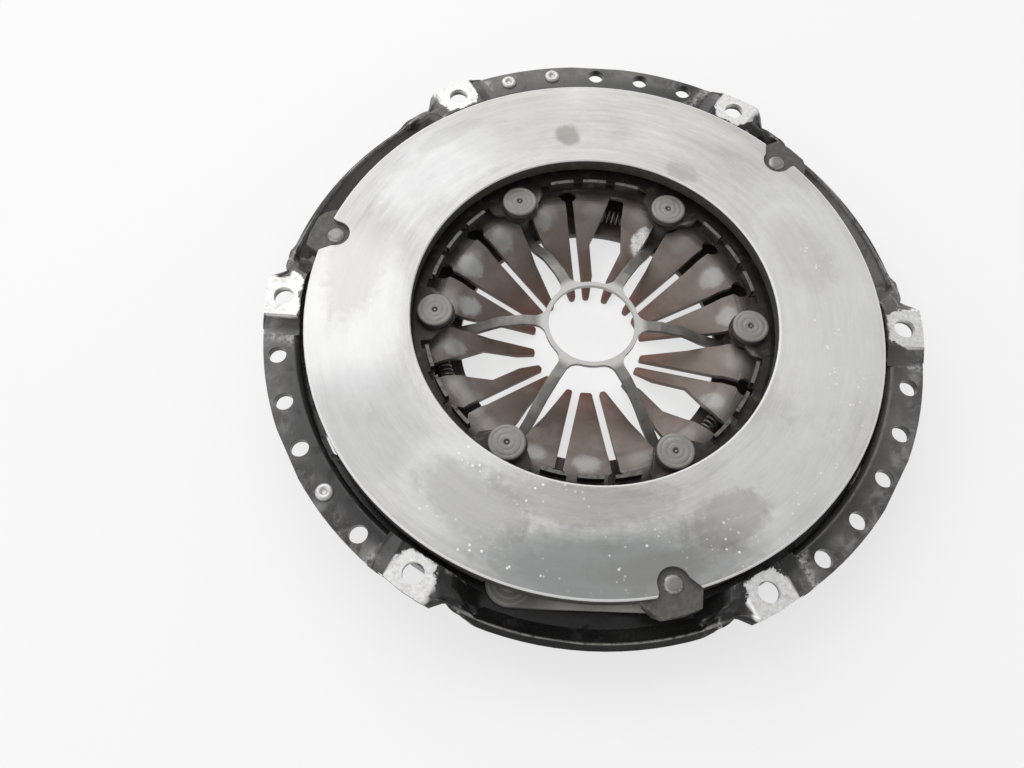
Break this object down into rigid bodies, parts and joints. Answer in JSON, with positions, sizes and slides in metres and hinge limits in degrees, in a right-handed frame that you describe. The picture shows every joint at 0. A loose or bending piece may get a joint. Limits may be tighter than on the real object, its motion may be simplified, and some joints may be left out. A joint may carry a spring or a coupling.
{
  "type": "clutch pressure plate",
  "caption": "Self-adjusting clutch cover assembly: pressure plate on leaf straps inside a pressed cover, clamped by a slotted diaphragm spring that pivots on a ramped wear-adjusting ring.",
  "frame": {"origin": "centre of the bolt circle, on the face of the bolting ears that meets the flywheel", "axes": "+Z along the clutch axis, from the cover's back towards the flywheel; +X through one of the bolt holes"},
  "size_m": [0.2798, 0.2767, 0.0361],
  "materials": {
    "cover_paint": "semi-gloss",
    "plate_iron": "satin",
    "diaphragm_steel": "satin",
    "sensor_steel": "satin",
    "stop_steel": "satin",
    "ring_steel": "satin",
    "bolt_steel": "satin",
    "lug_rivet_steel": "satin",
    "strap_rivet_steel": "satin",
    "balance_rivet_steel": "satin",
    "coil_steel": "satin",
    "strap_steel": "satin"
  },
  "bodies": {
    "cover": {"cover": "cover_paint", "sensor_spring": "sensor_steel", "stop_spider": "stop_steel", "stepped_bolts": "bolt_steel", "cover_strap_rivets": "strap_rivet_steel", "balance_rivets": "balance_rivet_steel", "adjuster_spring_1": "coil_steel", "adjuster_spring_2": "coil_steel", "adjuster_spring_3": "coil_steel", "leaf_strap_1_upper": "strap_steel", "leaf_strap_1_middle": "strap_steel", "leaf_strap_1_lower": "strap_steel", "leaf_strap_2_upper": "strap_steel", "leaf_strap_2_middle": "strap_steel", "leaf_strap_2_lower": "strap_steel", "leaf_strap_3_upper": "strap_steel", "leaf_strap_3_middle": "strap_steel", "leaf_strap_3_lower": "strap_steel"},
    "diaphragm": {"diaphragm_spring": "diaphragm_steel"},
    "adjusting_ring": {"adjusting_ring": "ring_steel"},
    "pressure_plate": {"pressure_plate": "plate_iron", "plate_rivets": "lug_rivet_steel"}
  },
  "joints": [
    {"name": "pivot_rise", "type": "slide", "parent": "cover", "child": "diaphragm", "axis": [0, 0, 1], "range_m": [0, 0.0018], "deforming": ["sensor_spring"]},
    {"name": "ring_turn", "type": "hinge", "parent": "diaphragm", "child": "adjusting_ring", "pos_m": [0, 0, 0], "axis": [0, 0, 1], "range_deg": [0, 12], "deforming": ["adjuster_spring_1", "adjuster_spring_2", "adjuster_spring_3"]},
    {"name": "plate_lift", "type": "slide", "parent": "cover", "child": "pressure_plate", "axis": [0, 0, 1], "range_m": [-0.0038, 0.0018], "stiffness_N_per_m": 200000, "deforming": ["diaphragm_spring", "leaf_strap_1_upper", "leaf_strap_1_middle", "leaf_strap_1_lower", "leaf_strap_2_upper", "leaf_strap_2_middle", "leaf_strap_2_lower", "leaf_strap_3_upper", "leaf_strap_3_middle", "leaf_strap_3_lower"]}
  ],
  "couplings": [
    {"joint": "ring_turn", "follows": "pivot_rise", "rad_per_m": 116.36}
  ]
}
